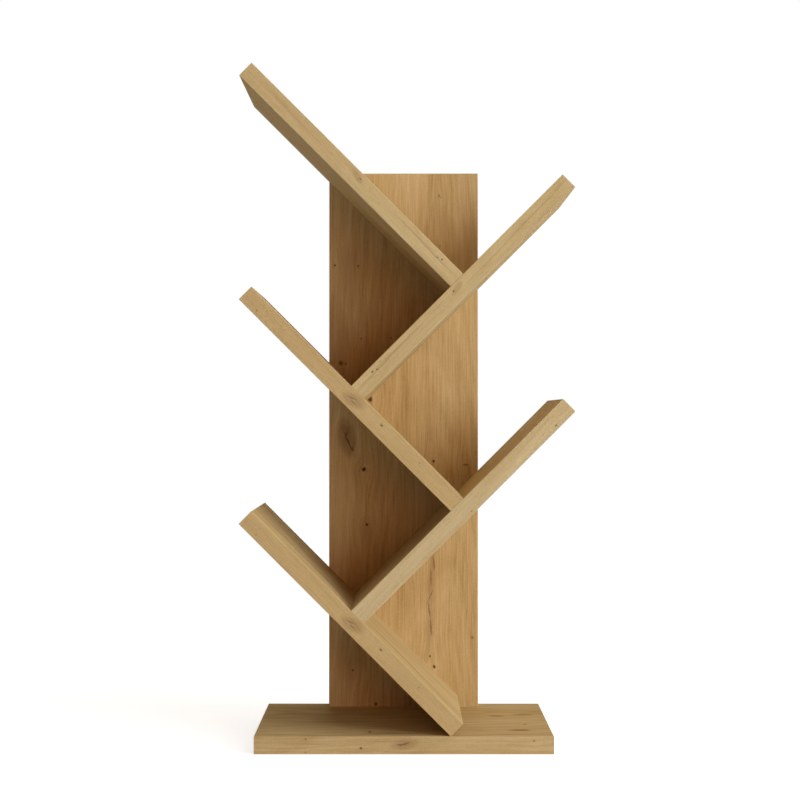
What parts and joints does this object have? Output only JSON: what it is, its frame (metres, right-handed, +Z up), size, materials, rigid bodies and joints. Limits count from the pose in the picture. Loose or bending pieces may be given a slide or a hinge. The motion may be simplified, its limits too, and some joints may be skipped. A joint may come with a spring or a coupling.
{
  "type": "tree shaped bookshelf",
  "caption": "Free-standing bookshelf with sloping arms that zigzag up a back panel like branches, on a flat base; books lean in the bays between the arms.",
  "frame": {"origin": "middle of the base's underside, on the floor", "axes": "+X to the right of someone facing the shelf, +Y back to the wall, +Z up"},
  "size_m": [0.3368, 0.168, 0.6921],
  "materials": {
    "oak_board": "matt knotty oak decor on board",
    "oak_edge_band": "matt oak decor edge band",
    "zinc_screw": "zinc plated",
    "beech_dowel": "plain beech"
  },
  "bodies": {
    "root": {"back_panel": "oak_board", "base_board": "oak_board", "lower_left_arm": "oak_board", "lower_right_arm": "oak_board", "middle_left_arm": "oak_board", "upper_left_arm": "oak_board", "upper_right_arm": "oak_board", "back_panel_left_band": "oak_edge_band", "back_panel_right_band": "oak_edge_band", "back_panel_top_band": "oak_edge_band", "base_front_band": "oak_edge_band", "base_left_band": "oak_edge_band", "base_rear_band": "oak_edge_band", "base_right_band": "oak_edge_band", "lower_left_arm_foot_band": "oak_edge_band", "lower_left_arm_front_band": "oak_edge_band", "lower_left_arm_rear_band": "oak_edge_band", "lower_left_arm_tip_band": "oak_edge_band", "lower_right_arm_front_band": "oak_edge_band", "lower_right_arm_rear_band": "oak_edge_band", "lower_right_arm_tip_band": "oak_edge_band", "middle_left_arm_front_band": "oak_edge_band", "middle_left_arm_rear_band": "oak_edge_band", "middle_left_arm_tip_band": "oak_edge_band", "upper_left_arm_front_band": "oak_edge_band", "upper_left_arm_rear_band": "oak_edge_band", "upper_left_arm_tip_band": "oak_edge_band", "upper_right_arm_front_band": "oak_edge_band", "upper_right_arm_rear_band": "oak_edge_band", "upper_right_arm_tip_band": "oak_edge_band", "base_to_panel_screws": "zinc_screw", "panel_to_arm_screws": "zinc_screw", "lower_left_joint_dowels": "beech_dowel", "lower_right_joint_dowels": "beech_dowel", "middle_left_joint_dowels": "beech_dowel", "panel_base_dowels": "beech_dowel", "upper_right_joint_dowels": "beech_dowel"}
  },
  "joints": []
}
